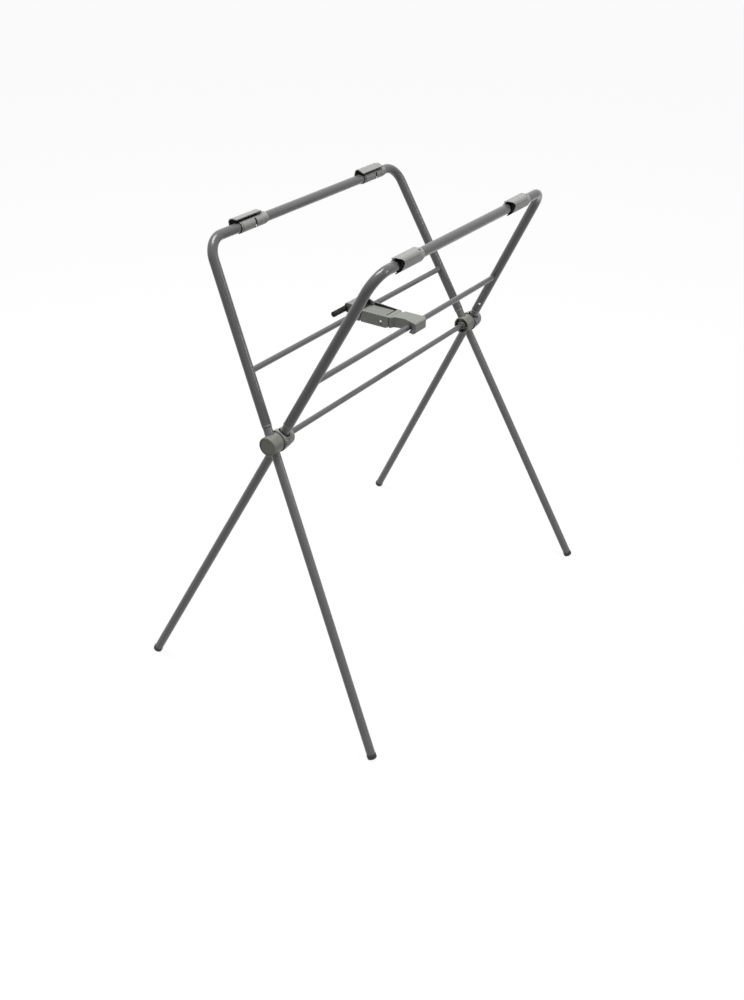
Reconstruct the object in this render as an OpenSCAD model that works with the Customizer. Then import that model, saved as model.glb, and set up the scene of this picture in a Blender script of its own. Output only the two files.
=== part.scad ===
// Folding bath stand: two trapezoid tube frames crossed at a pair of hubs, held open by
// an arm that hooks over a crossbar, with four turning clips on the rails. X runs from
// the rear rail to the front rail, Y along the rails, Z up. The origin is on the floor.

/* [Stand] */
// Height of the rail centre lines above the floor
rail_z = 940; // [800:1:1050]
// Height of the hub axis above the floor
hub_z = 587; // [480:1:640]
// Distance between the two rail centre lines when open
rail_gap = 357; // [300:1:420]
// Distance between the joint planes of the two hubs
hub_span = 747; // [640:1:860]
// Splay of each leg inside its own frame, in degrees
splay = 7; // [3:0.5:9]
// Distance between the two legs that meet in one hub
leg_pitch = 25; // [24:0.5:34]

/* [Tubes] */
// Outer diameter of the rail tubes
rail_od = 20; // [19:0.1:22]
// Wall of the rail tubes
rail_wall = 0.8; // [0.6:0.1:1.2]
// Gap all round between a leg and the rail tube that it slides into
leg_fit = 0.1; // [0.05:0.01:0.3]
// Wall of the leg tubes
leg_wall = 1; // [0.8:0.1:1.5]
// Outer diameter of the crossbars and of the pivot tube
bar_od = 12; // [10:0.1:14]
// Wall of the crossbars and of the pivot tube
bar_wall = 1; // [0.8:0.1:1.5]
// Centre line radius of the rail bends
bend_r = 44; // [35:1:70]
// Distance of the crossbars from the hub axis, along the frame
crossbar_v = 142.5; // [120:0.5:170]
// Distance of the rail tube's lower ends from the hub axis, along the leg
sleeve_end = 39; // [32:1:46]
// Length of leg inside the rail tube
leg_overlap = 62; // [50:1:90]
// Length of the plastic bushes at the rail tube's ends
bush_len = 4; // [2:0.5:6]
// Distance of the snap buttons above the hub axis, along the leg
button_w = 64; // [52:1:80]
// Diameter of the snap buttons
button_d = 5; // [4:0.1:7]

/* [Feet] */
// Outer diameter of the foot caps
foot_od = 19.6; // [19.4:0.1:24]
// Length of a foot cap up its leg
foot_len = 11; // [8:1:30]
// Rounding of the foot caps
foot_round = 4; // [1:0.5:6]

/* [Hubs] */
// Diameter of the hub sockets that hold the rear frame's legs
socket_od = 39; // [36:0.5:46]
// Length of a hub socket, from the joint plane to its outer face
socket_len = 30; // [28:0.5:40]
// Diameter of the hub collars that hold the front frame's legs
collar_od = 37.5; // [34:0.5:42]
// Length of a hub collar, from the joint plane to its rounded end
collar_len = 41; // [39:0.5:60]
// Rounding of the collar's end
collar_round = 10; // [3:0.5:12]
// Diameter of the hub bolts
bolt_d = 6; // [5:0.1:8]

/* [Clips] */
// Distance between the two clips of one rail
clip_pitch = 425; // [320:1:440]
// Offset of both clips of a rail along Y
clip_shift = 8; // [-8:1:12]
// Length of a clip's sleeve
clip_len = 79; // [64:1:98]
// Wall of a clip
clip_wall = 2.3; // [1.6:0.1:3]
// Reach of a clip's shell outside the rail centre line
shell_reach = 16.5; // [15:0.5:20]
// Height of a clip's flap above the rail centre line
flap_rise = 16; // [14.5:0.5:20]
// Width of the turning slot in a clip
slot_w = 4.6; // [3.6:0.1:6]
// Diameter of the pins in the turning slots
pin_d = 3.4; // [2.6:0.1:5]
// Angle that a clip turns inwards
clip_in = 70; // [20:1:75]
// Angle that a clip turns outwards
clip_out = 20; // [10:1:30]

/* [Locking arm] */
// Width of the arm
arm_w = 50; // [44:1:60]
// Offset of the arm's middle along Y
arm_y = 14.5; // [-20:0.5:20]
// Height of the arm's housing
arm_h = 25; // [24:0.5:30]
// Wall of the arm's housing
arm_wall = 3; // [2:0.1:4]
// Diameter of the arm's pin
arm_pin_d = 4; // [3:0.1:6]
// Travel of the release plate
plate_travel = 2.5; // [1.5:0.1:3]
// Diameter of the ribbed grip
grip_od = 12; // [10:0.5:14]
// Length of the ribbed grip
grip_len = 44; // [30:1:60]
// Diameter of the rod inside the grip
rod_d = 5; // [4:0.5:7]

/* [Hidden] */
$fn = 48;

// Sides of a frame: near is towards -Y, far towards +Y
NEAR = -1;
FAR = 1;
steel = [0.36, 0.36, 0.36];
bright = [0.82, 0.82, 0.80];
plastic = [0.58, 0.59, 0.56];
dark_plastic = [0.45, 0.46, 0.43];
black = [0.07, 0.07, 0.07];

// Frame geometry: v runs up a frame's own plane from the hub axis, w up along a leg
tilt = atan(rail_gap / 2 / (rail_z - hub_z));
top_v = (rail_z - hub_z) / cos(tilt);
top_half = hub_span / 2 - top_v * tan(splay);
bar_half = hub_span / 2 - crossbar_v * tan(splay);
bar_x = crossbar_v * sin(tilt);
bar_z = hub_z + crossbar_v * cos(tilt);
turn = 90 - splay;
bend_reach = bend_r * tan(turn / 2);
leg_od = rail_od - 2 * rail_wall - 2 * leg_fit;
leg_top = sleeve_end + leg_overlap;
// The tube draws in a little at its bends
neck = 0.2;
seam = 0.05;
slack = 0.3;
run = 0.06;

// The caps' lowest point lies a little under the floor plane, which trims them flat
lean = acos(cos(tilt) * cos(splay));
foot_flat = 0.5;
foot_ring = foot_od / 2 - foot_round;
foot_w = (foot_ring * sin(lean) + foot_round - foot_flat - hub_z) / cos(lean) - foot_round;
leg_bottom = foot_w + 3;

// Points on an arc round (x, z), from angle a to angle b
function arc(x, z, r, a, b, n = 12) =
    [for (i = [0:n]) let (t = a + (b - a) * i / n) [x + r * cos(t), z + r * sin(t)]];

// Places its children in the rear rail's frame, whose legs run down to the front feet
module rear_frame() {
    translate([0, -leg_pitch / 2, hub_z]) rotate([0, -tilt, 0]) children();
}

// Places its children in the front rail's frame, whose legs run down to the rear feet
module front_frame() {
    translate([0, leg_pitch / 2, hub_z]) rotate([0, tilt, 0]) children();
}

// Turns Z up along the leg of one side, with the origin on the hub axis
module on_leg(side) {
    translate([0, side * hub_span / 2, 0]) rotate([side * splay, 0, 0]) children();
}

// A cylinder along Y from y = a to y = b
module rod_y(d, a, b) {
    translate([0, a, 0]) rotate([-90, 0, 0]) cylinder(d = d, h = b - a);
}

// An outline drawn in X and Z, given a length along Y from y = a to y = b
module along_y(a, b) {
    translate([0, b, 0]) rotate([90, 0, 0]) linear_extrude(b - a) children();
}

// ---- Tubes ----

// A straight piece of tube along Z
module pipe(od, wall, h) {
    difference() {
        cylinder(d = od, h = h);
        translate([0, 0, -1]) cylinder(d = od - 2 * wall, h = h + 2);
    }
}

// The snap buttons look inwards, turned a little towards the outside of the stand
button_turn = 20;
button_out = 2.2;
button_len = 9;
button_push = 2.5;
button_flange = 1.2;

// Turns Z out of a leg along the axis of its snap button; out is the outer X side
module at_button(side, out) {
    mirror([out < 0 ? 1 : 0, 0, 0]) on_leg(side) translate([0, 0, button_w])
        rotate([0, 0, side * button_turn]) rotate([side * 90, 0, 0]) children();
}

// Bent tube with a rail and the upper part of two legs
module rail_tube(out) {
    leg_end = top_v / cos(splay) - bend_reach;
    rail_half = top_half - bend_reach;
    color(steel) difference() {
        union() {
            for (side = [NEAR, FAR]) {
                on_leg(side) translate([0, 0, sleeve_end])
                    pipe(rail_od, rail_wall, leg_end - sleeve_end);
                translate([0, side * rail_half, top_v - bend_r]) rotate([90, 0, 90])
                    rotate([0, 0, side == FAR ? splay : 90])
                        rotate_extrude(angle = turn) translate([bend_r, 0]) difference() {
                            circle(d = rail_od - neck);
                            circle(d = rail_od - neck - 2 * rail_wall);
                        }
            }
            translate([0, -rail_half, top_v]) rotate([-90, 0, 0])
                pipe(rail_od, rail_wall, 2 * rail_half);
        }
        for (side = [NEAR, FAR]) {
            at_button(side, out) cylinder(d = button_d + 2 * slack, h = rail_od);
            translate([0, clip_shift - out * leg_pitch / 2 + side * clip_pitch / 2, top_v])
                rotate([0, -out * tilt, 0]) mirror([out < 0 ? 1 : 0, 0, 0])
                    rotate([0, 90 - pin_angle, 0]) cylinder(d = pin_d + 2 * seam, h = rail_od);
        }
    }
}

// Straight bar welded between the legs of a frame, with its ends coped to their round
module crossbar() {
    color(steel) difference() {
        translate([0, 0, crossbar_v]) rod_y(bar_od, -bar_half, bar_half);
        translate([0, 0, crossbar_v]) rod_y(bar_od - 2 * bar_wall, -bar_half - 1, bar_half + 1);
        for (side = [NEAR, FAR]) on_leg(side) translate([0, 0, sleeve_end])
            cylinder(d = rail_od + 2 * seam, h = top_v);
    }
}

// Leg tube from its foot up through the hub into the rail tube, drilled for the hub bolt
module leg_tube(side, out) {
    color(steel) difference() {
        on_leg(side) translate([0, 0, leg_bottom]) cylinder(d = leg_od, h = leg_top - leg_bottom);
        on_leg(side) translate([0, 0, leg_bottom - 1])
            cylinder(d = leg_od - 2 * leg_wall, h = leg_top - leg_bottom + 2);
        translate([0, side * hub_span / 2, 0]) rod_y(bolt_d + 2 * slack, -leg_od, leg_od);
        at_button(side, out) cylinder(d = button_d + 2 * slack, h = rail_od);
    }
}

// Thin plastic bush where the leg leaves the rail tube
module leg_bush(side) {
    color(steel) on_leg(side) translate([0, 0, sleeve_end - bush_len]) difference() {
        union() {
            cylinder(d = rail_od + 0.3, h = 1.2);
            cylinder(d = rail_od - 0.4, h = bush_len);
        }
        translate([0, 0, -1]) cylinder(d = leg_od + 2 * seam, h = bush_len + 2);
    }
}

// Snap button: a domed pin with a flange inside the leg
module snap_button(side, out) {
    inside = sqrt(pow(leg_od / 2 - leg_wall, 2) - pow(button_d / 2 + 1, 2)) - slack;
    color(bright) at_button(side, out) rotate_extrude() polygon(concat(
        [[0, inside - button_flange], [button_d / 2 + 1, inside - button_flange],
            [button_d / 2 + 1, inside], [button_d / 2, inside]],
        arc(button_d / 2 - 1, rail_od / 2 + button_out - 1, 1, 0, 90, 6),
        [[0, rail_od / 2 + button_out]]));
}

// Rounded cap over the end of a leg, with its lowest part worn flat on the floor
module foot_cap(side) {
    on_leg(side) translate([0, 0, foot_w]) difference() {
        rotate_extrude() polygon(concat(
            [[0, 0]], arc(foot_ring, foot_round, foot_round, -90, 0, 8),
            [[foot_od / 2, foot_len - 0.8], [foot_od / 2 - 0.6, foot_len], [0, foot_len]]));
        translate([0, 0, leg_bottom - foot_w]) cylinder(d = leg_od + 2 * seam, h = foot_len);
    }
}

module floor_cut() {
    reach = rail_z + hub_span;
    color(dark_plastic) difference() {
        children();
        translate([-reach, -reach, -20]) cube([2 * reach, 2 * reach, 20]);
    }
}

// ---- Hubs ----

// Wall of the hollow hub sockets
hub_wall = 3.2;
socket_round = 2.6;
boss_d = 17;
cap_depth = 1.2;
joint_gap = slack / 2;
head_d = bolt_d + 5;
head_h = 2.8;
near_seat = 7;
insert_len = 22;

// Socket of the rear frame, open towards -Y, round the leg of one side
module hub_socket(side) {
    y0 = side * hub_span / 2;
    color(plastic) translate([0, 0, hub_z]) difference() {
        union() {
            difference() {
                translate([0, y0, 0]) rotate([-90, 0, 0]) rotate_extrude() polygon(concat(
                    [[0, -socket_len]],
                    arc(socket_od / 2 - socket_round, socket_round - socket_len, socket_round, -90, 0, 6),
                    [[socket_od / 2, -joint_gap], [0, -joint_gap]]));
                translate([0, y0, 0])
                    rod_y(socket_od - 2 * hub_wall, -socket_len - 1, -2 * hub_wall);
            }
            translate([0, y0, 0]) rod_y(boss_d, -socket_len + near_seat, -hub_wall);
            intersection() {
                translate([0, y0, 0]) rod_y(socket_od - 1, -socket_len + 5, -hub_wall);
                union() {
                    for (a = [0, 90]) translate([0, y0, 0]) rotate([0, a + 18, 0])
                        translate([-socket_od / 2, -socket_len, -1.3])
                            cube([socket_od, socket_len, 2.6]);
                    leg_sleeve(side);
                }
            }
        }
        translate([0, -leg_pitch / 2, 0]) rotate([0, -tilt, 0]) on_leg(side)
            translate([0, 0, -socket_od]) cylinder(d = leg_od + 2 * seam, h = 2 * socket_od);
        translate([0, y0, 0]) rod_y(bolt_d + 2 * run, -socket_len - 1, 1);
        translate([0, y0, 0])
            rod_y((side == FAR ? bar_od : head_d) + slack, -socket_len - 1, -socket_len + near_seat);
    }
}

// Tube wall round the leg inside a socket
module leg_sleeve(side) {
    translate([0, -leg_pitch / 2, 0]) rotate([0, -tilt, 0]) on_leg(side)
        translate([0, 0, -socket_od / 2]) cylinder(d = leg_od + 5, h = socket_od);
}

// Collar of the front frame, rounded towards +Y, round the leg of one side
module hub_collar(side) {
    y0 = side * hub_span / 2;
    r = collar_od / 2;
    color(dark_plastic) translate([0, y0, hub_z]) difference() {
        union() {
            rotate([-90, 0, 0]) rotate_extrude() polygon(concat(
                [[0, joint_gap], [r + collar_flare, joint_gap], [r + collar_flare, 6]],
                arc(r - collar_round, collar_len - collar_round, collar_round, 0, 90),
                [[0, collar_len]]));
            translate([0, 8.2, 0]) rotate([0, 90 - stop_angle, 0]) translate([0, 0, r - 3])
                cylinder(d1 = 15.2, d2 = 12.4, h = collar_flare + 5.2);
        }
        translate([0, leg_pitch / 2, 0]) rotate([0, tilt, 0]) rotate([side * splay, 0, 0])
            union() {
                translate([0, 0, -collar_od]) cylinder(d = leg_od + 2 * seam, h = 2 * collar_od);
                translate([0, 0, r - 6]) cylinder(d = leg_od + 5.6, h = r);
            }
        rod_y(bolt_d + 2 * run, 0, collar_len + 1);
        if (side == NEAR) rod_y(bar_od + 2 * slack, collar_len - collar_seat, collar_len + 1);
        else rod_y(head_d + 2 * slack, collar_len - collar_seat, collar_len + 1);
    }
}

collar_seat = 12;
// The collar is wider where it meets the socket, and carries a round stop lug there
collar_flare = 3;
stop_angle = 4;

// Disc that closes the near hub's open face, set a little below its rim
module hub_cap() {
    y0 = -hub_span / 2 - socket_len;
    color(plastic) translate([0, y0 + cap_depth, hub_z])
        rod_y(socket_od - 2 * hub_wall - 2 * seam, -0.4, 2);
}

// Plug that covers the bolt head in the far collar
module hub_plug() {
    y0 = hub_span / 2 + collar_len;
    color(dark_plastic) translate([0, 0, hub_z]) difference() {
        translate([0, y0, 0]) rod_y(head_d + 2 * slack - 2 * seam, -collar_seat + head_h + 1, -0.5);
        translate([0, y0, 0]) rod_y(4, -2, 1);
    }
}

// The two hub bolts, screwed into the inserts at the ends of the pivot tube
module hub_bolts() {
    near_y = -hub_span / 2 - socket_len + near_seat;
    far_y = hub_span / 2 + collar_len - collar_seat;
    color(bright) translate([0, 0, hub_z]) {
        rod_y(bolt_d, near_y - 0.1, pivot_near + insert_len - 2);
        translate([0, 0, 0]) rod_y(head_d, near_y - head_h, near_y);
        rod_y(bolt_d, pivot_far - insert_len + 2, far_y + 0.1);
        rod_y(head_d, far_y, far_y + head_h);
    }
}

pivot_near = -hub_span / 2 + collar_len - collar_seat + slack;
pivot_far = hub_span / 2 - socket_len + near_seat;

// Tube between the hubs, coaxial with them
module pivot_tube() {
    color(steel) translate([0, 0, hub_z]) difference() {
        rod_y(bar_od, pivot_near, pivot_far);
        rod_y(bar_od - 2 * bar_wall, pivot_near - 1, pivot_far + 1);
    }
}

// Threaded insert in one end of the pivot tube
module pivot_insert(a, b) {
    color(bright) translate([0, 0, hub_z]) difference() {
        rod_y(bar_od - 2 * bar_wall - 2 * seam, a, b);
        rod_y(bolt_d + 2 * seam, a - 1, b + 1);
    }
}

// Flanged rings on the pivot tube beside the hubs
module pivot_rings() {
    ys = [-hub_span / 2 + collar_len + slack, hub_span / 2 - socket_len - 5 + near_seat - slack];
    color(plastic) translate([0, 0, hub_z]) for (i = [0, 1]) difference() {
        union() {
            rod_y(bar_od + 7, ys[i], ys[i] + 2);
            rod_y(bar_od + 3.4, ys[i] - (i == 0 ? 0 : 3), ys[i] + (i == 0 ? 5 : 2));
        }
        rod_y(bar_od + 2 * seam, ys[i] - 5, ys[i] + 7);
    }
}

// ---- Clips ----

// Angle of the limit pins round the rail, from the outer side through the top
pin_angle = 205;
pin_reach = rail_od / 2 + clip_wall + 0.6;
sleeve_r = rail_od / 2 + run + 2;
scoop_front = 2;
scoop_rear = -12;
scoop_r = 14;
taper = 23;
flap_over = 4;
shell_out = 12;
// The rear clips' flaps stand higher, and the far one is turned up a little from the others
rear_rise = 2.4;
far_turn = 25;
end_taper = 6;
flap_end = 15;
end_r = rail_od / 2 + run + 1;
tail_angle = -70;
pad_in = 20;
pad_out = 6;

// Moves its children to a clip on the rail whose outer side is out, at one side
module at_clip(out, side) {
    translate([out * rail_gap / 2, clip_shift + side * clip_pitch / 2, rail_z])
        mirror([out < 0 ? 1 : 0, 0, 0]) children();
}

// Turns a clip's own pieces to where it rests on its rail
module at_rest(out, side) {
    at_clip(out, side) rotate([0, out < 0 && side == FAR ? -far_turn : 0, 0]) children();
}

// Outline of a clip's shell, from its tail under the rail to its flap over it
module shell_outline(t, rise) {
    r = rail_od / 2 + clip_wall + 1.4;
    c = 9;
    polygon(concat(
        arc(0, 0, r, tail_angle, -25, 8), arc(shell_reach - c, rise - c, c, 0, 90),
        [[-flap_over, rise], [-flap_over, rise - t]],
        arc(shell_reach - c, rise - c, c - t, 90, 0), arc(0, 0, r - t, -25, tail_angle, 8)));
}

// The same outline filled in to the rail
module shell_fill(rise) {
    r = rail_od / 2 + clip_wall + 1.4;
    c = 9;
    polygon(concat(
        [[0, 0]], arc(0, 0, r, tail_angle, -25, 8), arc(shell_reach - c, rise - c, c, 0, 90),
        [[0, rise]]));
}

// Clip that turns on a rail: a slotted sleeve under a hooked shell
module clip(out, side) {
    h = clip_len / 2;
    rise = flap_rise + (out < 0 ? rear_rise : 0);
    slot_a = pin_angle - clip_in - 10;
    slot_b = pin_angle + clip_out + 10;
    color(plastic) at_rest(out, side) difference() {
        union() {
            difference() {
                union() {
                    rod_y(2 * sleeve_r, -h - 4, h - end_taper);
                    translate([0, h - end_taper, 0]) rotate([-90, 0, 0])
                        cylinder(r1 = sleeve_r, r2 = end_r, h = end_taper);
                }
                translate([0, -h - 5, -20]) cube([40, pad_in + 5, 40]);
                difference() {
                    rod_y(2 * sleeve_r + 4, -h - 0.8, -h + 0.6);
                    rod_y(2 * sleeve_r - 1.4, -h - 2, -h + 2);
                }
            }
            difference() {
                along_y(-h - shell_out, h - taper) shell_outline(clip_wall, rise);
                translate([1, -h + (out > 0 ? scoop_front : scoop_rear) - scoop_r, 2.5]) rotate([0, 90, 0])
                    cylinder(r = scoop_r, h = 40);
            }
            intersection() {
                along_y(h - taper - 2, h) shell_fill(rise);
                translate([0, h - taper - 2, 0]) rotate([-90, 0, 0])
                    cylinder(r1 = shell_reach + 1.4, r2 = end_r + 0.3, h = taper + 2);
            }
            along_y(h - taper - 1, h - flap_end) translate([-flap_over, rise - clip_wall])
                square([flap_over + shell_reach - 7, clip_wall]);
        }
        rod_y(rail_od + 2 * run, -h - 20, h + 20);
        translate([0, -slot_w / 2, 0]) rotate([-90, 0, 0]) rotate([0, 0, -slot_b])
            rotate_extrude(angle = slot_b - slot_a)
                translate([rail_od / 2 - 1, 0]) square([5, slot_w]);
    }
}

// Soft pad inside a clip's shell, round the outer half of the rail
module clip_pad(out, side) {
    h = clip_len / 2;
    rise = flap_rise + (out < 0 ? rear_rise : 0);
    r = rail_od / 2 + 1.4 - seam;
    c = 9;
    color(black) at_rest(out, side) difference() {
        along_y(-h - (out < 0 ? shell_out - 1 : pad_out), -h + pad_in - seam) polygon(concat(
            [[0, 0]], arc(0, 0, r, tail_angle, -25, 8),
            arc(shell_reach - c, rise - c, c - clip_wall - seam, 0, 90),
            [[0, rise - clip_wall - seam]]));
        rod_y(rail_od + 2 * run, -h - 20, h);
        translate([seam - 40, -h - 20, -20]) cube([40, clip_len, 40]);
    }
}

// Limit pins of the two clips on one rail
module clip_pins(out) {
    color(bright) for (side = [NEAR, FAR]) at_clip(out, side) rotate([0, 90 - pin_angle, 0])
        translate([0, 0, rail_od / 2 - rail_wall - 1])
            cylinder(d = pin_d, h = pin_reach - rail_od / 2 + rail_wall + 1);
}

// ---- Locking arm: it turns on the rear crossbar and hooks over the front one ----

near_y = arm_y - arm_w / 2;
far_y = arm_y + arm_w / 2;
half_h = arm_h / 2;
rear_x = -bar_x;
block_top = half_h + 8;
joint_rear = -50;
joint_front = 19.5;
// Top of the wall on the far side of the arm, at its apex over the rear block
wall_apex = 21.3;
wall_joint = 16.8;
// The grip's axis, from the rear crossbar
grip_x = -25;
grip_z = 8;
rod_in = 30;
plate_t = 2;
plate_rear = -46.9;
plate_front = 7.4;
plate_drop = 1.4;
plate_gap = 3;

// Moves its children to the arm's own place, with its pin's axis on Y
module on_arm() {
    translate([0, 0, bar_z]) children();
}

// Rear end of the arm, which turns on the rear crossbar and holds the grip
module arm_rear_block() {
    inner = arm_wall + seam;
    color(plastic) on_arm() difference() {
        union() {
            along_y(near_y, far_y) polygon(concat(
                arc(rear_x, 0, half_h, 200, 270, 8), [[joint_rear - 4, -half_h]],
                [[joint_rear - 0.6, half_h - 0.6], [joint_rear - 2.5, half_h + 0.6]],
                arc(joint_rear - 22, block_top - 5, 5, 45, 90, 4),
                arc(rear_x + grip_x + 4, block_top - 6, 6, 90, 150, 6),
                [[rear_x + grip_x - 6, grip_z - 4]]));
            along_y(far_y - 3, far_y) polygon([
                [joint_rear - 24, half_h - 4], [joint_rear - 18, block_top - 1],
                [joint_rear - 12, wall_apex], [joint_rear - 0.6, wall_joint + 0.4],
                [joint_rear - 0.6, half_h - 4]]);
            along_y(near_y + inner, far_y - inner)
                translate([joint_rear - 6, -half_h + 1]) square([20, arm_h - 8]);
        }
        translate([rear_x, 0, 0]) rod_y(bar_od + 2 * run, near_y - 1, far_y + 1);
        translate([rear_x + grip_x, 0, grip_z]) rod_y(rod_d + 2 * seam, near_y - 1, near_y + rod_in);
        translate([rear_x + grip_x - 1, near_y + 7, block_top - 8]) cube([3.4, 17, 12]);
        translate([joint_rear - 24, near_y + 9, half_h - 5]) cube([40, arm_w - 12, 30]);
        for (y = [near_y + 10, far_y - 10]) translate([joint_rear + 8, y, -half_h])
            cylinder(d = 3.1, h = 12);
    }
}

// Distance of the plate's well from the arm's near face
well_in = 8;

// Hollow middle of the arm, with its release plate's well on top and a slot under its pin
module arm_housing() {
    top = half_h;
    color(plastic) on_arm() difference() {
        union() {
            along_y(near_y, far_y) polygon(concat(
                [[joint_rear - 2, -half_h + 4], [joint_rear + 1, -half_h]],
                [[joint_front - 9, -half_h]],
                [[joint_front - 3, -half_h + 2], [joint_front, -half_h + 6], [joint_front, half_h]],
                [[joint_rear + 2.8, half_h]]));
            along_y(far_y - 2.5, far_y) polygon([
                [joint_rear + 2.8, half_h - 2], [joint_rear + 2.8, wall_joint],
                [joint_front - 5, half_h + 0.1], [joint_front - 5, half_h - 2]]);
        }
        along_y(near_y + arm_wall, far_y - arm_wall) polygon([
            [joint_rear - 9, -half_h - 1], [joint_front + 1, -half_h - 1],
            [joint_front + 1, half_h - 3 * plate_t], [joint_rear - 9, half_h - 3 * plate_t]]);
        along_y(near_y + well_in, far_y - 2.5) polygon([
            [joint_rear - 9, half_h - 3 * plate_t - 1], [plate_front + plate_gap, half_h - 3 * plate_t - 1],
            [plate_front + plate_gap, half_h + 9], [joint_rear - 9, half_h + 9]]);
        rod_y(arm_pin_d + 2 * seam, near_y - 1, far_y + 1);
        translate([-0.9, near_y - 1, -half_h - 1]) cube([1.8, arm_wall + 2, half_h]);
    }
}

// Front end of the arm: a tongue on the pin, a waist and a hook over the front crossbar
module arm_hook() {
    inner = arm_wall + seam;
    x1 = bar_x;
    r = half_h;
    color(plastic) on_arm() difference() {
        union() {
            along_y(near_y + inner, far_y - inner) polygon(concat(
                arc(0, 0, 5.5, 90, 270, 12), [[joint_front + 2, -5.5], [joint_front + 2, 5.5]]));
            intersection() {
                along_y(near_y, far_y) polygon(concat(
                    [[joint_front + 0.5, -half_h + 2.5], [x1 - 12, -half_h + 2.5], [x1 - 6, -half_h]],
                    arc(x1 + hook_end - 11, -half_h + 11, 11, -90, 0, 10),
                    arc(x1 + hook_end - 8, half_h - 8, 8, 0, 90, 10),
                    [[joint_front + 0.5, half_h]]));
                translate([0, 0, -half_h - 1]) linear_extrude(arm_h + 2) polygon(concat(
                    [[joint_front, near_y], [joint_front + 3, near_y], [joint_front + 8, near_y + 9]],
                    [[x1 - 24, near_y + 12.5], [x1 - 12, near_y + 12.5], [x1 - 3, near_y + 9]],
                    arc(x1 + hook_end - 5, near_y + 8, 5, -90, 0, 6),
                    arc(x1 + hook_end - 12, far_y - 12, 12, 0, 90, 8),
                    [[joint_front + 10, far_y], [joint_front + 8, far_y - 7]],
                    [[joint_front + 1, far_y - 7], [joint_front, far_y]]));
                translate([joint_front - 1, 0, 0]) rotate([90, 0, 90]) linear_extrude(x1) polygon(concat(
                    [[near_y, half_h + 1], [near_y, half_h - 1]],
                    [[near_y, -half_h + 1], [near_y + 7, -half_h - 1], [far_y - 5, -half_h - 1]],
                    [[far_y, -half_h + 4], [far_y, half_h + 1]]));
            }
        }
        translate([x1, 0, 0]) rod_y(bar_od + 2 * slack, near_y - 1, far_y + 1);
        translate([x1, 0, 0]) rotate([0, hook_slant, 0])
            translate([-bar_od / 2 - slack, near_y - 1, -40]) cube([bar_od + 2 * slack, arm_w + 2, 40]);
        rod_y(arm_pin_d + 2 * seam, near_y - 1, far_y + 1);
    }
}

// Slant of the hook's mouth from straight down, towards the rear, and the hook's reach
hook_slant = 30;
hook_end = 20.5;

// Pin through the housing and the hook's tongue, with a low head at each end
module arm_pin() {
    color(bright) on_arm() {
        rod_y(arm_pin_d, near_y - 0.2, far_y + 0.2);
        rod_y(arm_pin_d + 0.8, near_y - 0.6, near_y - 0.1);
        rod_y(arm_pin_d + 0.8, far_y + 0.1, far_y + 0.6);
    }
}

// Two screws from below, through the rear block's tongue into the housing
module arm_screws() {
    color(bright) on_arm() for (y = [near_y + 10, far_y - 10])
        translate([joint_rear + 8, y, -half_h + 0.6]) cylinder(d = 3, h = 10);
}

// Release plate in the housing's top
module release_plate() {
    color(plastic) on_arm() translate([plate_rear, near_y + well_in + slack, half_h - plate_drop - plate_t])
        cube([plate_front - plate_rear, arm_w - well_in - slack - 2.5 - plate_gap, plate_t]);
}

// Black ribbed grip that lifts the arm
module grip() {
    color(black) on_arm() translate([rear_x + grip_x, near_y - seam, grip_z]) difference() {
        rod_y(grip_od, -grip_len, 0);
        for (a = [0:30:330]) rotate([0, a, 0]) translate([grip_od / 2 + 0.3, 0, 0])
            rod_y(1.8, -grip_len + 3, -3);
        rod_y(rod_d + 2 * seam, -grip_len + 6, 1);
    }
}

// Rod from the rear block into the grip
module grip_rod() {
    color(bright) on_arm() translate([rear_x + grip_x, 0, grip_z])
        rod_y(rod_d, near_y - grip_len + 7, near_y + rod_in - seam);
}

rear_frame() rail_tube(-1);  // rear_rail_tube
rear_frame() crossbar();  // rear_crossbar
rear_frame() leg_tube(NEAR, -1);  // front_leg_near
rear_frame() leg_tube(FAR, -1);  // front_leg_far
floor_cut() rear_frame() foot_cap(NEAR);  // front_foot_near
floor_cut() rear_frame() foot_cap(FAR);  // front_foot_far
rear_frame() leg_bush(NEAR);  // front_leg_bush_near
rear_frame() leg_bush(FAR);  // front_leg_bush_far
hub_socket(NEAR);  // hub_socket_near
hub_socket(FAR);  // hub_socket_far
hub_cap();  // hub_cap_near
hub_bolts();
pivot_tube();
pivot_insert(pivot_near, pivot_near + insert_len);  // pivot_insert_near
pivot_insert(pivot_far - insert_len, pivot_far);  // pivot_insert_far
pivot_rings();
clip_pins(-1);  // rear_clip_pins
front_frame() rail_tube(1);  // front_rail_tube
front_frame() crossbar();  // front_crossbar
front_frame() leg_tube(NEAR, 1);  // rear_leg_near
front_frame() leg_tube(FAR, 1);  // rear_leg_far
floor_cut() front_frame() foot_cap(NEAR);  // rear_foot_near
floor_cut() front_frame() foot_cap(FAR);  // rear_foot_far
front_frame() leg_bush(NEAR);  // rear_leg_bush_near
front_frame() leg_bush(FAR);  // rear_leg_bush_far
hub_collar(NEAR);  // hub_collar_near
hub_collar(FAR);  // hub_collar_far
hub_plug();  // hub_plug_far
clip_pins(1);  // front_clip_pins
rear_frame() snap_button(NEAR, -1);  // front_leg_button_near
rear_frame() snap_button(FAR, -1);  // front_leg_button_far
front_frame() snap_button(NEAR, 1);  // rear_leg_button_near
front_frame() snap_button(FAR, 1);  // rear_leg_button_far
clip(-1, NEAR);  // rear_clip_near
clip(-1, FAR);  // rear_clip_far
clip(1, NEAR);  // front_clip_near
clip(1, FAR);  // front_clip_far
clip_pad(-1, NEAR);  // rear_pad_near
clip_pad(-1, FAR);  // rear_pad_far
clip_pad(1, NEAR);  // front_pad_near
clip_pad(1, FAR);  // front_pad_far
arm_rear_block();
arm_housing();
arm_hook();
arm_pin();
arm_screws();
release_plate();
grip();
grip_rod();
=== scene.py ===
# A folding stand for a baby bath, in metres, with its feet on the floor at height 0.
import math

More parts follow.
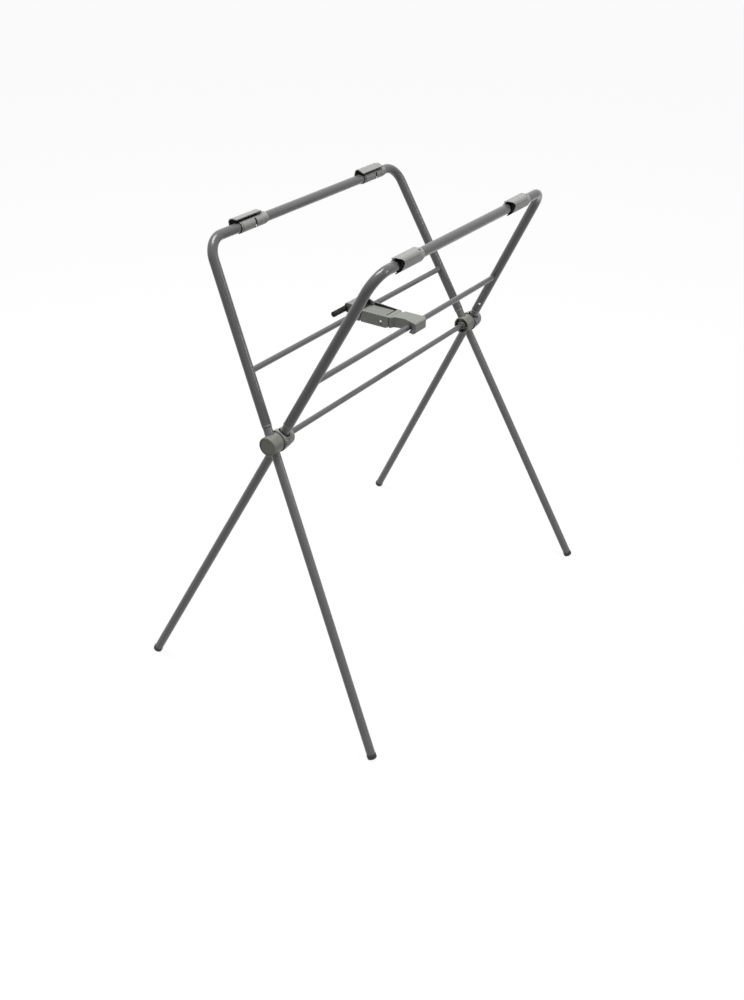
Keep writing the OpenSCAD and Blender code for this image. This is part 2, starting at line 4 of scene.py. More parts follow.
import bpy
from mathutils import Matrix, Vector


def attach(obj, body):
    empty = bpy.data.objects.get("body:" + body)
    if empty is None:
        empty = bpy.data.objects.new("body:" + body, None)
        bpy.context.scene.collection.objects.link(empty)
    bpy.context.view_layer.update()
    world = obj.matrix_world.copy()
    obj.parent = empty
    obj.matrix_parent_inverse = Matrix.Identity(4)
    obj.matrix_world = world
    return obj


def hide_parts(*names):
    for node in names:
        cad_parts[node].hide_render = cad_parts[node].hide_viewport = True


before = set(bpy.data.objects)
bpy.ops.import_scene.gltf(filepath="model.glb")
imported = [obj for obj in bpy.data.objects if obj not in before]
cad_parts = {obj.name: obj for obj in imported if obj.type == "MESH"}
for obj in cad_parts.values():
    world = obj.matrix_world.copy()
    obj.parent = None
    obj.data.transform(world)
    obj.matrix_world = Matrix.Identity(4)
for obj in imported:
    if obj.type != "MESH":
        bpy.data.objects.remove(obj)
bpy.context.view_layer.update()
scene = bpy.context.scene
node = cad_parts

# ---- Camera ----
# The stand is seen from above the near left end of its front rail, so that the front
# frame leans towards the lens and both hubs and the locking arm show.
view_turn = math.radians(32.184)
view_drop = math.radians(30.523)
view_roll = math.radians(1.532)
view_back = Vector(
    (
        math.sin(view_turn) * math.cos(view_drop),
        -math.cos(view_turn) * math.cos(view_drop),
        math.sin(view_drop),
    )
)
level = Vector((math.cos(view_turn), math.sin(view_turn), 0))
upright = view_back.cross(level)
view_right = level * math.cos(view_roll) + upright * math.sin(view_roll)
view_up = upright * math.cos(view_roll) - level * math.sin(view_roll)
view_from = Vector((1.2620, -2.0053, 1.6718))
sensor_height, lens_per_height = 36, 1.2097

camera_data = bpy.data.cameras.new("camera")
camera = bpy.data.objects.new("camera", camera_data)
scene.collection.objects.link(camera)
camera.matrix_world = Matrix(
    (
        (view_right.x, view_up.x, view_back.x, view_from.x),
        (view_right.y, view_up.y, view_back.y, view_from.y),
        (view_right.z, view_up.z, view_back.z, view_from.z),
        (0, 0, 0, 1),
    )
)
camera_data.sensor_fit = "VERTICAL"
camera_data.sensor_height = sensor_height
camera_data.lens = sensor_height * lens_per_height
camera_data.shift_x = -0.00664
camera_data.shift_y = 0.00068
camera_data.clip_end = 50
scene.camera = camera

# ---- Crossbars, legs and pivot tube ----
# Drawn steel tube, powder coated in a neutral dark grey after welding. The baked coat is
# glossy, with a faint orange peel and small changes of tone. The legs, which slide in the
# rail tubes, are rubbed a little paler.


def new_group(name, inputs, outputs, kind="Shader"):
    """A node group. A socket is its label, its type and, for most inputs, its default."""
    group = bpy.data.node_groups.new(name, kind + "NodeTree")
    new_socket = group.interface.new_socket
    for label, holds, *default in inputs:
        socket = new_socket(label, in_out="INPUT", socket_type="NodeSocket" + holds)
        if default:
            socket.default_value = default[0]
    for label, holds in outputs:
        new_socket(label, in_out="OUTPUT", socket_type="NodeSocket" + holds)
    return group, group.nodes.new("NodeGroupInput"), group.nodes.new("NodeGroupOutput")


def add_node(tree, kind, **settings):
    """A new node of a tree, with its settings."""
    made = tree.nodes.new(kind)
    for key, value in settings.items():
        setattr(made, key, value)
    return made


# Soft blotches and a fine skin on a surface: Tone is near 1, Skin is a height
skin, skin_in, skin_out = new_group(
    "surface_skin",
    [
        ("Blotch Scale", "Float", 30.0),
        ("Blotch", "Float", 0.1),
        ("Grain Scale", "Float", 900.0),
        ("Grain", "Float", 0.1),
    ],
    [("Tone", "Float"), ("Skin", "Float")],
)
where = add_node(skin, "ShaderNodeTexCoord")
blotch = add_node(skin, "ShaderNodeTexNoise")
blotch.inputs["Detail"].default_value = 3
grain = add_node(skin, "ShaderNodeTexNoise")
grain.inputs["Detail"].default_value = 4
grain.inputs["Roughness"].default_value = 0.65
tone = add_node(skin, "ShaderNodeMath", operation="MULTIPLY")
for part, (noise, label) in enumerate(((blotch, "Blotch"), (grain, "Grain"))):
    centred = add_node(skin, "ShaderNodeMath", operation="SUBTRACT")
    centred.inputs[1].default_value = 0.5
    varied = add_node(skin, "ShaderNodeMath", operation="MULTIPLY_ADD")
    varied.inputs[2].default_value = 1.0
    skin.links.new(where.outputs["Object"], noise.inputs["Vector"])
    skin.links.new(skin_in.outputs[label + " Scale"], noise.inputs["Scale"])
    skin.links.new(noise.outputs["Fac"], centred.inputs[0])
    skin.links.new(centred.outputs[0], varied.inputs[0])
    skin.links.new(skin_in.outputs[label], varied.inputs[1])
    skin.links.new(varied.outputs[0], tone.inputs[part])
skin.links.new(tone.outputs[0], skin_out.inputs["Tone"])
skin.links.new(grain.outputs["Fac"], skin_out.inputs["Skin"])

# Moulded and cut edges are never knife sharp: Rounded is the normal with its edges
# rounded over, and Edge is a mask of the edges themselves, where a paler colour is
# painted on as a highlight
edges, edges_in, edges_out = new_group(
    "broken_edges",
    [("Radius", "Float", 0.0008), ("Spread", "Float", 3.0)],
    [("Rounded", "Vector"), ("Edge", "Float")],
)
round_over = add_node(edges, "ShaderNodeBevel", samples=10)
surface = add_node(edges, "ShaderNodeNewGeometry")
turned = add_node(edges, "ShaderNodeVectorMath", operation="DOT_PRODUCT")
away = add_node(edges, "ShaderNodeMath", operation="SUBTRACT")
away.inputs[0].default_value = 1.0
edge_highlight_mask = add_node(edges, "ShaderNodeMath", operation="MULTIPLY", use_clamp=True)
edges.links.new(edges_in.outputs["Radius"], round_over.inputs["Radius"])
edges.links.new(round_over.outputs["Normal"], turned.inputs[0])
edges.links.new(surface.outputs["Normal"], turned.inputs[1])
edges.links.new(turned.outputs["Value"], away.inputs[1])
edges.links.new(away.outputs[0], edge_highlight_mask.inputs[0])
edges.links.new(edges_in.outputs["Spread"], edge_highlight_mask.inputs[1])
edges.links.new(round_over.outputs["Normal"], edges_out.inputs["Rounded"])
edges.links.new(edge_highlight_mask.outputs[0], edges_out.inputs["Edge"])

# Light dies in narrow gaps and corners, so shade is painted into the colour there: Open is 1 in
# the open and falls to 0 down a gap
gaps, gaps_in, gaps_out = new_group(
    "shaded_gaps",
    [("Reach", "Float", 0.01), ("Depth", "Float", 1.5)],
    [("Open", "Float")],
)
shaded = add_node(gaps, "ShaderNodeAmbientOcclusion", samples=12)
deep = add_node(gaps, "ShaderNodeMath", operation="POWER")
gaps.links.new(gaps_in.outputs["Reach"], shaded.inputs["Distance"])
gaps.links.new(shaded.outputs["AO"], deep.inputs[0])
gaps.links.new(gaps_in.outputs["Depth"], deep.inputs[1])
gaps.links.new(deep.outputs[0], gaps_out.inputs["Open"])


def finish_of(
    name,
    colour,
    edge_colour,
    blotch,
    grain,
    relief,
    rough,
    radius,
    spread=3.0,
    reach=0.01,
    depth=1.0,
    shine=0.5,
    coat=(0.0, 0.03),
    metal=0.0,
):
    """A material with a skin, soft edges with a painted highlight, and painted shade in its
    gaps.

    blotch and grain are each a scale and a strength, rough is its lowest and highest, and
    coat is its weight and roughness. Lengths are in metres.
    """
    made = bpy.data.materials.new(name)
    made.use_nodes = True
    tree = made.node_tree
    shader = tree.nodes["Principled BSDF"]
    shader.inputs["Specular IOR Level"].default_value = shine
    shader.inputs["Coat Weight"].default_value = coat[0]
    shader.inputs["Coat Roughness"].default_value = coat[1]
    shader.inputs["Metallic"].default_value = metal
    cover = add_node(tree, "ShaderNodeGroup", node_tree=skin)
    cover.inputs["Blotch Scale"].default_value, cover.inputs["Blotch"].default_value = blotch
    cover.inputs["Grain Scale"].default_value, cover.inputs["Grain"].default_value = grain
    edge = add_node(tree, "ShaderNodeGroup", node_tree=edges)
    edge.inputs["Radius"].default_value = radius
    edge.inputs["Spread"].default_value = spread
    # Painted highlight: the edges are painted paler, in edge_colour, where the Edge mask is high
    edge_highlight = add_node(tree, "ShaderNodeMix", data_type="RGBA")
    edge_highlight.inputs["A"].default_value = (*colour, 1)
    edge_highlight.inputs["B"].default_value = (*edge_colour, 1)
    tree.links.new(edge.outputs["Edge"], edge_highlight.inputs["Factor"])
    # Painted shade: the colour is darkened down narrow gaps and into corners
    gap = add_node(tree, "ShaderNodeGroup", node_tree=gaps)
    gap.inputs["Reach"].default_value = reach
    gap.inputs["Depth"].default_value = depth
    lit = add_node(tree, "ShaderNodeMath", operation="MULTIPLY")
    tree.links.new(cover.outputs["Tone"], lit.inputs[0])
    tree.links.new(gap.outputs["Open"], lit.inputs[1])
    toned = add_node(tree, "ShaderNodeVectorMath", operation="SCALE", name="toned")
    tree.links.new(edge_highlight.outputs["Result"], toned.inputs[0])
    tree.links.new(lit.outputs[0], toned.inputs["Scale"])
    tree.links.new(toned.outputs[0], shader.inputs["Base Color"])
    raised = add_node(tree, "ShaderNodeBump")
    raised.inputs["Strength"].default_value = 1.0
    raised.inputs["Distance"].default_value = relief
    tree.links.new(cover.outputs["Skin"], raised.inputs["Height"])
    tree.links.new(edge.outputs["Rounded"], raised.inputs["Normal"])
    tree.links.new(raised.outputs["Normal"], shader.inputs["Normal"])
    dull = add_node(tree, "ShaderNodeMapRange")
    dull.inputs["From Min"].default_value = 0.3
    dull.inputs["From Max"].default_value = 0.7
    dull.inputs["To Min"].default_value, dull.inputs["To Max"].default_value = rough
    tree.links.new(cover.outputs["Skin"], dull.inputs["Value"])
    tree.links.new(dull.outputs["Result"], shader.inputs["Roughness"])
    return made


def dress(material, *names):
    """Gives pieces that come from the CAD their material."""
    for name in names:
        for slot_used in node[name].material_slots:
            slot_used.link = "OBJECT"
            slot_used.material = material


tube_paint = finish_of(
    "tube_paint",
    colour=(0.133, 0.133, 0.1335),
    edge_colour=(0.20, 0.20, 0.20),
    blotch=(30, 0.16),
    grain=(700, 0.06),
    relief=0.000012,
    rough=(0.24, 0.29),
    radius=0.0004,
    spread=0.5,
    reach=0.006,
    shine=0.3,
    coat=(0.45, 0.06),
)
dress(tube_paint, "rear_crossbar", "front_crossbar", "pivot_tube")
leg_paint = finish_of(
    "leg_paint",
    colour=(0.235, 0.235, 0.235),
    edge_colour=(0.30, 0.30, 0.30),
    blotch=(30, 0.18),
    grain=(700, 0.06),
    relief=0.000012,
    rough=(0.24, 0.30),
    radius=0.0004,
    spread=0.5,
    reach=0.006,
    shine=0.3,
    coat=(0.2, 0.08),
)
dress(leg_paint, "front_leg_near", "front_leg_far", "rear_leg_near", "rear_leg_far")

# ---- Weld beads ----
# Each crossbar is coped to the rail tube's legs and welded all round before the coat
# goes on. The beads are small rippled fillets, painted with the frame.
rail_gap, rail_height, hub_height = 0.357, 0.940, 0.587
hub_span, leg_pitch = 0.747, 0.025
frame_lean = math.atan(rail_gap / 2 / (rail_height - hub_height))
leg_splay = math.radians(7)
bar_above_hub = 0.1425
bar_radius, rail_radius = 0.006, 0.010
points_round = 48
# Which way each frame leans, and its name
both_frames = ((-1, "rear_frame"), (1, "front_frame"))


def in_frame(out, x, y, v):
    """Where a point of a leaning frame is: v up the frame from the hubs' axis, x out of it."""
    turn = out * frame_lean
    return (
        x * math.cos(turn) + v * math.sin(turn),
        y + out * leg_pitch / 2,
        hub_height - x * math.sin(turn) + v * math.cos(turn),
    )


def end_tree(tree, tree_in, tree_out, shape):
    """Ends a Geometry Nodes tree: its instances made real, and its paint put on."""
    whole = add_node(tree, "GeometryNodeRealizeInstances")
    painted = add_node(tree, "GeometryNodeSetMaterial")
    tree.links.new(shape, whole.inputs[0])
    tree.links.new(whole.outputs[0], painted.inputs["Geometry"])
    tree.links.new(tree_in.outputs["Paint"], painted.inputs["Material"])
    tree.links.new(painted.outputs[0], tree_out.inputs[0])


bead_tree, bead_in, bead_out = new_group(
    "weld_bead",
    [
        ("Path", "Geometry"),
        ("Bead Radius", "Float", 0.0013),
        ("Ripple", "Float", 0.18),
        ("Ripples", "Float", 26.0),
        ("Steps", "Int", 104),
        ("Paint", "Material"),
    ],
    [("Bead", "Geometry")],
    kind="Geometry",
)
as_curve = add_node(bead_tree, "GeometryNodeMeshToCurve")
evened = add_node(bead_tree, "GeometryNodeResampleCurve")
along = add_node(bead_tree, "GeometryNodeSplineParameter")
phase = add_node(bead_tree, "ShaderNodeMath", operation="MULTIPLY")
phase_angle = add_node(bead_tree, "ShaderNodeMath", operation="MULTIPLY")
phase_angle.inputs[1].default_value = 2 * math.pi
wave = add_node(bead_tree, "ShaderNodeMath", operation="SINE")
swell = add_node(bead_tree, "ShaderNodeMath", operation="MULTIPLY_ADD")
swell.inputs[2].default_value = 1.0
wide = add_node(bead_tree, "ShaderNodeMath", operation="MULTIPLY")
section = add_node(bead_tree, "GeometryNodeCurvePrimitiveCircle")
section.inputs["Resolution"].default_value = 10
section.inputs["Radius"].default_value = 1.0
rod = add_node(bead_tree, "GeometryNodeCurveToMesh")
link = bead_tree.links.new
link(bead_in.outputs["Path"], as_curve.inputs[0])
link(as_curve.outputs[0], evened.inputs["Curve"])
link(bead_in.outputs["Steps"], evened.inputs["Count"])
link(along.outputs["Factor"], phase.inputs[0])
link(bead_in.outputs["Ripples"], phase.inputs[1])
link(phase.outputs[0], phase_angle.inputs[0])
link(phase_angle.outputs[0], wave.inputs[0])
link(wave.outputs[0], swell.inputs[0])
link(bead_in.outputs["Ripple"], swell.inputs[1])
link(swell.outputs[0], wide.inputs[0])
link(bead_in.outputs["Bead Radius"], wide.inputs[1])
link(evened.outputs[0], rod.inputs["Curve"])
link(section.outputs[0], rod.inputs["Profile Curve"])
link(wide.outputs[0], rod.inputs["Scale"])
end_tree(bead_tree, bead_in, bead_out, rod.outputs[0])


def plain_mesh(thing):
    """What an object's modifiers make of it, as a mesh of its own."""
    ready = bpy.context.evaluated_depsgraph_get()
    return bpy.data.meshes.new_from_object(thing.evaluated_get(ready), depsgraph=ready)


def made_by(tree, name, points, links, **values):
    """The piece that a Geometry Nodes tree makes of a wire through some points."""
    wire = bpy.data.meshes.new(name + "_wire")
    wire.from_pydata(points, links, [])
    holder = bpy.data.objects.new(name + "_wire", wire)
    scene.collection.objects.link(holder)
    step = holder.modifiers.new("make", "NODES")
    step.node_group = tree
    for item in tree.interface.items_tree:
        if item.item_type == "SOCKET" and item.in_out == "INPUT" and item.name in values:
            step[item.identifier] = values[item.name]
    result = plain_mesh(holder)
    result.name = name
    bpy.data.objects.remove(holder)
    piece = bpy.data.objects.new(name, result)
    scene.collection.objects.link(piece)
    for face in result.polygons:
        face.use_smooth = True
    return piece


for out, body in both_frames:
    path, loops = [], []
    for side in (-1, 1):
        first = len(path)
        for step in range(points_round):
            turn = 2 * math.pi * step / points_round
            x = bar_radius * math.sin(turn)
            v = bar_above_hub + bar_radius * math.cos(turn)
            reach = math.sqrt(rail_radius**2 - x**2) / math.cos(leg_splay)
            y = side * (hub_span / 2 - v * math.tan(leg_splay) - reach)
            path.append(in_frame(out, x, y, v))
            loops.append((first + step, first + (step + 1) % points_round))
    beads = made_by(bead_tree, body + "_weld_beads", path, loops, Paint=tube_paint)
    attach(beads, body)

# ---- Bent rail tubes ----
# Each top rail and its two upper legs are one tube, drawn round a former at both corners
# so that no seam shows, and cut square where the legs slide in. The holes for the snap
# buttons and clip pins are not cut here.
# Up the frame from the hubs' axis to the tube's cut ends and to the rail, and along the
# rail from its middle to each corner
sleeve_up, rail_up, rail_corner = 0.039, 0.39557, 0.32493
wall_thickness = 0.0008
sharp_over = math.radians(40)
tube_tree, tube_in, tube_out = new_group(
    "bent_tube",
    [
        ("Path", "Geometry"),
        ("Tube Radius", "Float", 0.010),
        ("Bend Radius", "Float", 0.044),
        ("Bend Steps", "Int", 28),
        ("Sides", "Int", 64),
        ("Paint", "Material"),
    ],
    [("Tube", "Geometry")],
    kind="Geometry",
)
as_curve = add_node(tube_tree, "GeometryNodeMeshToCurve")
bent = add_node(tube_tree, "GeometryNodeFilletCurve", mode="POLY")
section = add_node(tube_tree, "GeometryNodeCurvePrimitiveCircle")
swept = add_node(tube_tree, "GeometryNodeCurveToMesh")
link = tube_tree.links.new
link(tube_in.outputs["Path"], as_curve.inputs[0])
link(as_curve.outputs[0], bent.inputs["Curve"])
link(tube_in.outputs["Bend Radius"], bent.inputs["Radius"])
link(tube_in.outputs["Bend Steps"], bent.inputs["Count"])
link(tube_in.outputs["Tube Radius"], section.inputs["Radius"])
link(tube_in.outputs["Sides"], section.inputs["Resolution"])
link(bent.outputs[0], swept.inputs["Curve"])
link(section.outputs[0], swept.inputs["Profile Curve"])
end_tree(tube_tree, tube_in, tube_out, swept.outputs[0])

end_y = hub_span / 2 - sleeve_up * math.sin(leg_splay)
end_v = sleeve_up * math.cos(leg_splay)
corners = [(-end_y, end_v), (-rail_corner, rail_up), (rail_corner, rail_up), (end_y, end_v)]
for out, body in both_frames:
    path = [in_frame(out, 0, y, v) for y, v in corners]
    runs = [(0, 1), (1, 2), (2, 3)]
    tube = made_by(tube_tree, body + "_bent_tube", path, runs, Paint=tube_paint)
    wall = tube.modifiers.new("wall", "SOLIDIFY")
    wall.thickness = wall_thickness
    wall.offset = -1
    walled = plain_mesh(tube)
    tube.modifiers.clear()
    tube.data = walled
    walled.set_sharp_from_angle(angle=sharp_over)
    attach(tube, body)
    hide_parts(body.replace("frame", "rail_tube"))

# ---- Leg bushes ----
# Thin pale nylon bushes pressed into the rail tube's cut ends, so that the legs slide
# without scraping. Only a narrow flange shows below the tube.
bush_plastic = finish_of(
    "bush_plastic",
    colour=(0.34, 0.34, 0.33),
    edge_colour=(0.50, 0.50, 0.49),
    blotch=(60, 0.15),
    grain=(1500, 0.1),
    relief=0.00002,
    rough=(0.35, 0.5),
    radius=0.0004,
)
dress(bush_plastic, "front_leg_bush_near", "front_leg_bush_far")
dress(bush_plastic, "rear_leg_bush_near", "rear_leg_bush_far")

# ---- Foot caps ----
# Rubbery plastic caps pushed over the leg ends, darker and duller than the paint, and
# blotchy and scuffed all over, with a pale highlight painted on their edges.
foot_plastic = finish_of(
    "foot_plastic",
    colour=(0.040, 0.040, 0.040),
    edge_colour=(0.15, 0.15, 0.15),
    blotch=(120, 0.35),
    grain=(1400, 0.25),
    relief=0.00008,
    rough=(0.5, 0.7),
    radius=0.0006,
)
dress(foot_plastic, "front_foot_near", "front_foot_far", "rear_foot_near", "rear_foot_far")

# ---- Hubs ----
# Each hub is a hollow socket on the rear frame and a collar on the front frame, moulded
# in a warm greenish grey plastic with a fine matt grain. The collars are a shade paler.
hub_plastic = finish_of(
    "hub_plastic",
    colour=(0.245, 0.248, 0.220),
    edge_colour=(0.34, 0.34, 0.31),
    blotch=(26, 0.12),
    grain=(1500, 0.05),
    relief=0.000012,
    rough=(0.40, 0.52),
    radius=0.0012,
    spread=1.4,
    reach=0.005,
    depth=0.7,
)
collar_plastic = finish_of(
    "collar_plastic",
    colour=(0.305, 0.307, 0.290),
    edge_colour=(0.39, 0.39, 0.375),
    blotch=(26, 0.12),
    grain=(1500, 0.05),
    relief=0.000012,
    rough=(0.38, 0.50),
    radius=0.0012,
    spread=1.4,
    reach=0.005,
    depth=0.7,
)
dress(hub_plastic, "hub_socket_near", "hub_socket_far", "hub_cap_near", "pivot_rings")
dress(collar_plastic, "hub_collar_near", "hub_collar_far", "hub_plug_far")

# ---- Snap buttons, pins, bolts and screws ----
# Bright steel: turned snap buttons, pins and inserts, zinc plated bolts and screws, and
# the grip's rod. They are a little uneven and dull from handling.
bright_steel = finish_of(
    "bright_steel",
    colour=(0.80, 0.80, 0.79),
    edge_colour=(0.92, 0.92, 0.92),
    blotch=(200, 0.12),
    grain=(2500, 0.12),
    relief=0.00001,
    rough=(0.25, 0.4),
    radius=0.0003,
    metal=0.85,
)
dress(bright_steel, "front_leg_button_near", "front_leg_button_far")
dress(bright_steel, "rear_leg_button_near", "rear_leg_button_far")
dress(bright_steel, "hub_bolts", "pivot_insert_near", "pivot_insert_far")
dress(bright_steel, "rear_clip_pins", "front_clip_pins", "arm_pin", "arm_screws", "grip_rod")

# ---- Clips ----
# Four moulded clips turn on the rails as far as a pin in a slot lets them, and hook over
# the bath's rim. A soft black pad lines the open end of each, where it grips the rim. Its
# near-black colour also stands in for the shade deep in each clip's mouth.
fitting_plastic = finish_of(
    "fitting_plastic",
    colour=(0.355, 0.358, 0.345),
    edge_colour=(0.47, 0.475, 0.46),
    blotch=(22, 0.10),
    grain=(1600, 0.05),
    relief=0.000012,
    rough=(0.42, 0.54),
    radius=0.0010,
    spread=2.0,
    reach=0.009,
    depth=2.2,
)
dress(fitting_plastic, "rear_clip_near", "rear_clip_far", "front_clip_near", "front_clip_far")
pad_rubber = finish_of(
    "pad_rubber",
    colour=(0.010, 0.010, 0.010),
    edge_colour=(0.02, 0.02, 0.02),
    blotch=(80, 0.3),
    grain=(1200, 0.3),
    relief=0.00008,
    rough=(0.6, 0.8),
    radius=0.0006,
    shine=0.08,
)
dress(pad_rubber, "rear_pad_near", "rear_pad_far", "front_pad_near", "front_pad_far")

# ---- Locking arm ----
# A rear block on the rear crossbar, a hollow housing with the release plate in its
# top, and a hook over the front crossbar, all in the same moulded plastic.
# Little light reaches the well round the plate, the block's hollow and the hook's joint, so
# dark shade is painted into the colour there.
arm_height = 0.71417

# Painted shade in a box between two corners: Outside is 1 away from it and falls to Left
# within it, and the colour is darkened by it
hollow, hollow_in, hollow_out = new_group(
    "hollow",
    [
        ("Low", "Vector", (0, 0, 0)),
        ("High", "Vector", (0.01, 0.01, 0.01)),
        ("Soft", "Float", 0.0004),
        ("Left", "Float", 0.05),
    ],
    [("Outside", "Float")],
)
place = add_node(hollow, "ShaderNodeTexCoord")
under = add_node(hollow, "ShaderNodeVectorMath", operation="SUBTRACT")
over = add_node(hollow, "ShaderNodeVectorMath", operation="SUBTRACT")
beyond = add_node(hollow, "ShaderNodeVectorMath", operation="MAXIMUM")
apart = add_node(hollow, "ShaderNodeSeparateXYZ")
wider = add_node(hollow, "ShaderNodeMath", operation="MAXIMUM")
widest = add_node(hollow, "ShaderNodeMath", operation="MAXIMUM")
fade = add_node(hollow, "ShaderNodeMapRange", interpolation_type="SMOOTHSTEP")
hollow.links.new(hollow_in.outputs["Low"], under.inputs[0])
hollow.links.new(place.outputs["Object"], under.inputs[1])
hollow.links.new(place.outputs["Object"], over.inputs[0])
hollow.links.new(hollow_in.outputs["High"], over.inputs[1])
hollow.links.new(under.outputs[0], beyond.inputs[0])
hollow.links.new(over.outputs[0], beyond.inputs[1])
hollow.links.new(beyond.outputs[0], apart.inputs[0])
hollow.links.new(apart.outputs["X"], wider.inputs[0])
hollow.links.new(apart.outputs["Y"], wider.inputs[1])
hollow.links.new(wider.outputs[0], widest.inputs[0])
hollow.links.new(apart.outputs["Z"], widest.inputs[1])
hollow.links.new(widest.outputs[0], fade.inputs["Value"])
hollow.links.new(hollow_in.outputs["Soft"], fade.inputs["From Max"])
hollow.links.new(hollow_in.outputs["Left"], fade.inputs["To Min"])
hollow.links.new(fade.outputs["Result"], hollow_out.inputs["Outside"])


def arm_finish(name, rounding, *hollows):
    """The arm's plastic, with its edges rounded over and dark shade painted into its hollows."""
    made = finish_of(
        name,
        colour=(0.292, 0.300, 0.272),
        edge_colour=(0.36, 0.37, 0.34),
        blotch=(24, 0.10),
        grain=(1500, 0.05),
        relief=0.000012,
        rough=(0.42, 0.54),
        radius=rounding,
        spread=1.2,
        reach=0.010,
        depth=1.4,
    )
    tree = made.node_tree
    scale = tree.nodes["toned"].inputs["Scale"]
    for low, high in hollows:
        painted_shade = add_node(tree, "ShaderNodeGroup", node_tree=hollow)
        painted_shade.inputs["Low"].default_value = (low[0], low[1], low[2] + arm_height)
        painted_shade.inputs["High"].default_value = (high[0], high[1], high[2] + arm_height)
        less = add_node(tree, "ShaderNodeMath", operation="MULTIPLY")
        tree.links.new(scale.links[0].from_socket, less.inputs[0])
        tree.links.new(painted_shade.outputs["Outside"], less.inputs[1])
        tree.links.new(less.outputs[0], scale)
    return made


# Each box of painted shade is its lowest and highest corner, with heights from the middle of
# the arm. The plate's front and the joint also take in narrow strips of solid plastic,
# which are painted dark as shade too.
block_hollow = ((-0.0742, -0.0017, 0.0070), (-0.0562, 0.0367, 0.0300))
behind_plate = ((-0.0524, -0.0020, -0.0050), (-0.0470, 0.0371, 0.0108))
plate_well = ((-0.0600, -0.0078, -0.0100), (0.0104, 0.0371, 0.0122))
well_far_rim = ((-0.0480, 0.0368, 0.0100), (0.0060, 0.0371, 0.0200))
joint_on_housing = ((0.0185, -0.0110, -0.0130), (0.0200, -0.0020, 0.0118))
joint_on_hook = ((0.0185, -0.0110, -0.0130), (0.0206, -0.0020, 0.0118))
plate_sides = ((-0.0600, -0.0200, 0.0), (0.0200, 0.0500, 0.0108))
plate_front = ((0.0056, -0.0200, 0.0), (0.0200, 0.0500, 0.0120))
body_rounding, hook_rounding, plate_rounding = 0.0018, 0.0026, 0.0004
block_plastic = arm_finish("block_plastic", body_rounding, block_hollow, behind_plate)
housing_plastic = arm_finish(
    "housing_plastic", body_rounding, plate_well, well_far_rim, joint_on_housing
)
hook_plastic = arm_finish("hook_plastic", hook_rounding, joint_on_hook)
plate_plastic = arm_finish("plate_plastic", plate_rounding, plate_sides, plate_front)
dress(block_plastic, "arm_rear_block")
dress(housing_plastic, "arm_housing")
dress(hook_plastic, "arm_hook")
dress(plate_plastic, "release_plate")

# ---- Grip ----
# Black ribbed plastic grip on a steel rod. It is smooth from handling, with a dull
# shine painted in pale grey along the tops of its ribs.
grip_black = finish_of(
    "grip_black",
    colour=(0.010, 0.010, 0.010),
    edge_colour=(0.40, 0.40, 0.38),
    blotch=(90, 0.3),
    grain=(1300, 0.2),
    relief=0.00005,
    rough=(0.38, 0.5),
    radius=0.0007,
    spread=1.6,
    shine=0.22,
)
dress(grip_black, "grip")

# ---- Floor and light ----
# A plain white floor that runs out of sight, with only a faint shadow round the feet,
# under a broad soft light from above and paler light from all sides.
floor_reach, floor_level = 14.0, -0.0004
floor_mesh = bpy.data.meshes.new("floor")
floor_mesh.from_pydata(
    [
        (x * floor_reach, y * floor_reach, floor_level)
        for x, y in ((-1, -1), (1, -1), (1, 1), (-1, 1))
    ],
    [],
    [(0, 1, 2, 3)],
)
floor = bpy.data.objects.new("floor", floor_mesh)
scene.collection.objects.link(floor)


def as_background(tree):
    """1 where the camera sees it, straight, in gloss or through glass, and 0 where it lights."""
    ray = add_node(tree, "ShaderNodeLightPath")
    seen = add_node(tree, "ShaderNodeMath", operation="MAXIMUM")
    through = add_node(tree, "ShaderNodeMath", operation="MAXIMUM")
    tree.links.new(ray.outputs["Is Camera Ray"], seen.inputs[0])
    tree.links.new(ray.outputs["Is Glossy Ray"], seen.inputs[1])
    tree.links.new(seen.outputs[0], through.inputs[0])
    tree.links.new(ray.outputs["Is Transmission Ray"], through.inputs[1])
    return through.outputs[0]


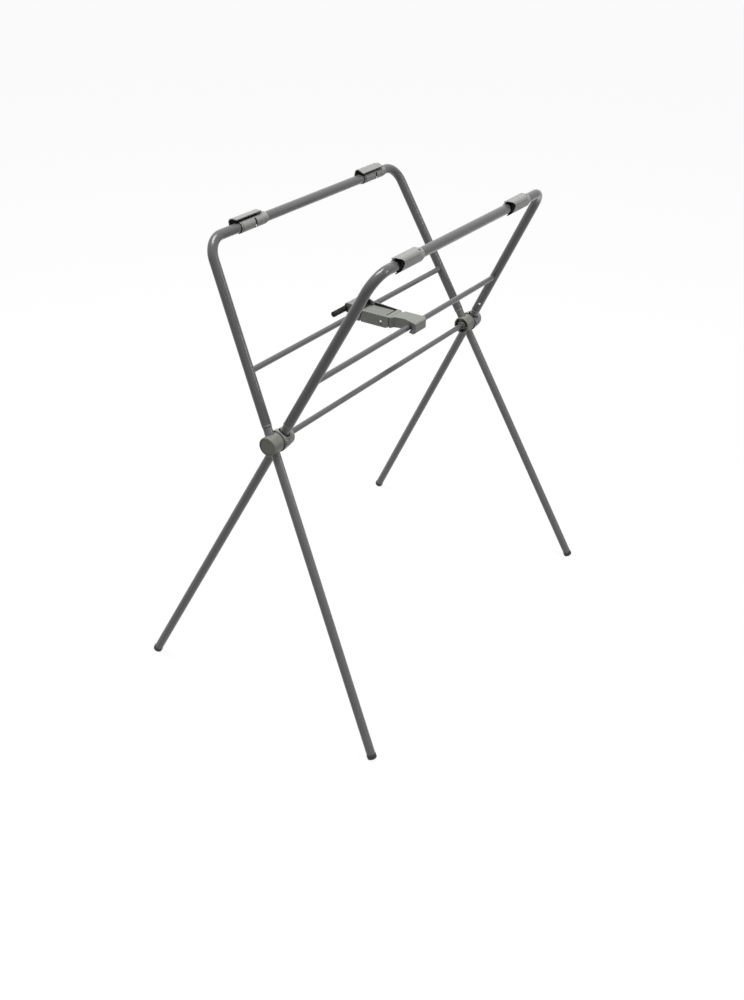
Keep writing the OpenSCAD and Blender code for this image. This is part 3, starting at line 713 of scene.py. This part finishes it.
# The floor is seen mostly as a white glow, and the rest of it takes the shadows
white_share = 0.78
paper = bpy.data.materials.new("white_floor")
paper.use_nodes = True
tree = paper.node_tree
tree.nodes.clear()
share = add_node(tree, "ShaderNodeMath", operation="MULTIPLY")
share.inputs[1].default_value = white_share
matte = add_node(tree, "ShaderNodeBsdfDiffuse")
matte.inputs["Color"].default_value = (0.50, 0.50, 0.50, 1)
glow = add_node(tree, "ShaderNodeEmission")
glow.inputs["Color"].default_value = (1, 1, 1, 1)
glow.inputs["Strength"].default_value = 1.208
mixed = add_node(tree, "ShaderNodeMixShader")
floor_out = add_node(tree, "ShaderNodeOutputMaterial")
tree.links.new(as_background(tree), share.inputs[0])
tree.links.new(share.outputs[0], mixed.inputs["Fac"])
tree.links.new(matte.outputs[0], mixed.inputs[1])
tree.links.new(glow.outputs[0], mixed.inputs[2])
tree.links.new(mixed.outputs[0], floor_out.inputs["Surface"])
floor_mesh.materials.append(paper)

world = bpy.data.worlds.new("room")
scene.world = world
world.use_nodes = True
tree = world.node_tree
tree.nodes.clear()
fill = add_node(tree, "ShaderNodeBackground")
fill.inputs["Color"].default_value = (0.96, 0.98, 1.0, 1)
fill.inputs["Strength"].default_value = 0.12
backdrop = add_node(tree, "ShaderNodeBackground")
backdrop.inputs["Color"].default_value = (1, 1, 1, 1)
backdrop.inputs["Strength"].default_value = 1.0
mixed = add_node(tree, "ShaderNodeMixShader")
sky_out = add_node(tree, "ShaderNodeOutputWorld")
tree.links.new(as_background(tree), mixed.inputs["Fac"])
tree.links.new(fill.outputs[0], mixed.inputs[1])
tree.links.new(backdrop.outputs[0], mixed.inputs[2])
tree.links.new(mixed.outputs[0], sky_out.inputs["Surface"])


def soft_box(name, place, aim, wide, tall, power):
    """A studio lamp with a rectangular face, turned to a point."""
    lamp = bpy.data.lights.new(name, "AREA")
    lamp.shape = "RECTANGLE"
    lamp.size = wide
    lamp.size_y = tall
    lamp.energy = power
    holder = bpy.data.objects.new(name, lamp)
    scene.collection.objects.link(holder)
    holder.location = place
    holder.rotation_euler = (Vector(aim) - Vector(place)).to_track_quat("-Z", "Y").to_euler()


soft_box("overhead", (-0.3, -0.2, 3.4), aim=(0, 0, 0.5), wide=1.4, tall=1.4, power=72)
soft_box("right_strip", (2.8, 1.1, 1.9), aim=(0, 0, 0.6), wide=0.35, tall=1.6, power=16)
scene.view_settings.view_transform = "Standard"
